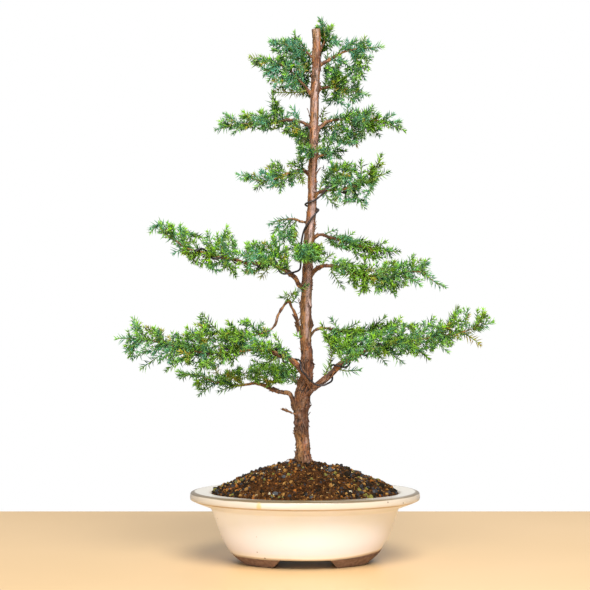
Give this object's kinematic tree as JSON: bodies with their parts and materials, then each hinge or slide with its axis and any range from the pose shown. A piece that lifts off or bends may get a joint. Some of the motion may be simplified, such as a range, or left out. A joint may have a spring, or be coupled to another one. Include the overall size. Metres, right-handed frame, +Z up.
{
  "type": "potted foemina juniper bonsai",
  "caption": "Foemina juniper bonsai: slim straight trunk with tiers of needled limbs shaped by wire, rising from mounded soil in a cream oval pot with a broad lip and corner feet.",
  "frame": {"origin": "centre of the plane that the pot stands on, midway along and across its rim", "axes": "+Z up along the trunk; X along the oval pot, with the front of the tree facing -Y, as pictured"},
  "size_m": [0.4207, 0.2, 0.6047],
  "materials": {
    "glaze": "gloss",
    "soil": "matte",
    "bark": "matte",
    "foliage": "satin",
    "wire": "satin",
    "screen": "matte"
  },
  "bodies": {
    "root": {"pot": "glaze", "drain_screen_left": "screen", "drain_screen_right": "screen", "soil": "soil", "wood": "bark", "wire_low": "wire", "wire_mid": "wire", "leafy_left_low": "foliage", "leafy_back_low": "foliage", "leafy_left_main": "foliage", "leafy_left_arch": "foliage", "leafy_left_mid": "foliage", "leafy_left_mid_back": "foliage", "leafy_front_mid": "foliage", "leafy_back_mid": "foliage", "leafy_right_mid_low": "foliage", "leafy_right_mid_high": "foliage", "leafy_right_low": "foliage", "leafy_right_low_back": "foliage", "leafy_left_upper": "foliage", "leafy_right_upper": "foliage", "leafy_right_upper_back": "foliage", "leafy_front_upper": "foliage", "leafy_left_high": "foliage", "leafy_back_high": "foliage", "leafy_right_high": "foliage", "leafy_crown_left": "foliage", "leafy_crown_top_left": "foliage", "leafy_crown_right": "foliage", "leafy_crown_right_low": "foliage", "leafy_leader": "foliage", "spray_left_low_1": "foliage", "spray_back_low_1": "foliage", "spray_left_main_1": "foliage", "spray_left_main_2": "foliage", "spray_left_main_3": "foliage", "spray_left_arch_1": "foliage", "spray_left_mid_1": "foliage", "spray_left_mid_2": "foliage", "spray_left_mid_3": "foliage", "spray_left_mid_4": "foliage", "spray_right_mid_low_1": "foliage", "spray_right_mid_low_2": "foliage", "spray_right_mid_low_3": "foliage", "spray_right_mid_high_1": "foliage", "spray_right_mid_high_2": "foliage", "spray_right_low_1": "foliage", "spray_right_low_2": "foliage", "spray_right_low_3": "foliage", "spray_right_low_4": "foliage", "spray_left_upper_1": "foliage", "spray_left_upper_2": "foliage", "spray_right_upper_1": "foliage", "spray_right_upper_2": "foliage", "spray_left_high_1": "foliage", "spray_left_high_2": "foliage", "spray_right_high_1": "foliage", "spray_right_high_2": "foliage", "spray_crown_left_1": "foliage", "spray_crown_right_1": "foliage"}
  },
  "joints": []
}
